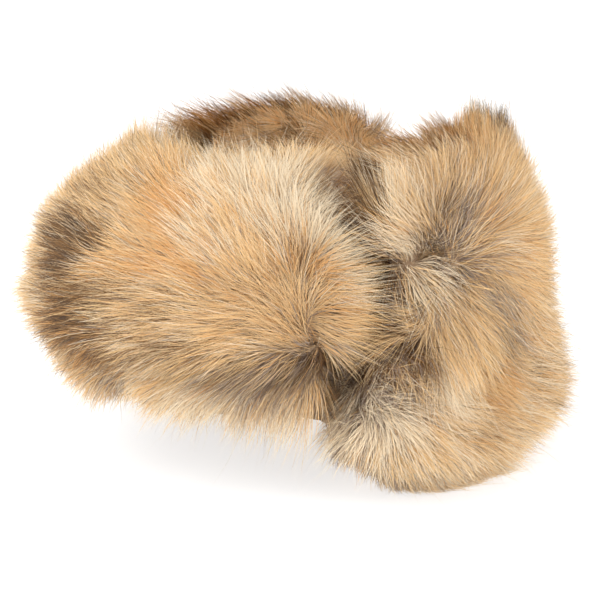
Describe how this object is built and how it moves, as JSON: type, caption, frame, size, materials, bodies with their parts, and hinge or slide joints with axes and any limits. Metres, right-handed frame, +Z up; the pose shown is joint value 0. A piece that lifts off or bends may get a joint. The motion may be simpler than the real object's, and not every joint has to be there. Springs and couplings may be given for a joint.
{
  "type": "aviator hat",
  "caption": "Full-fur aviator hat standing upright, hollow crown with its peak, ear flaps and nape flap folded up and the fur outside.",
  "frame": {"origin": "on the surface that the hat stands on, under the middle of its box", "axes": "+Z up, the wearer looks along -Y, the wearer's left is +X"},
  "size_m": [0.3442, 0.373, 0.2298],
  "materials": {
    "crown_leather": "matt suede",
    "crown_fur": "deep fur",
    "peak_fur": "deep fur",
    "ear_flap_fur": "deep fur",
    "nape_flap_fur": "deep fur"
  },
  "bodies": {
    "root": {"crown": "crown_leather", "crown_fur": "crown_fur", "peak": "peak_fur", "left_ear_flap": "ear_flap_fur", "right_ear_flap": "ear_flap_fur", "nape_flap": "nape_flap_fur"}
  },
  "joints": []
}
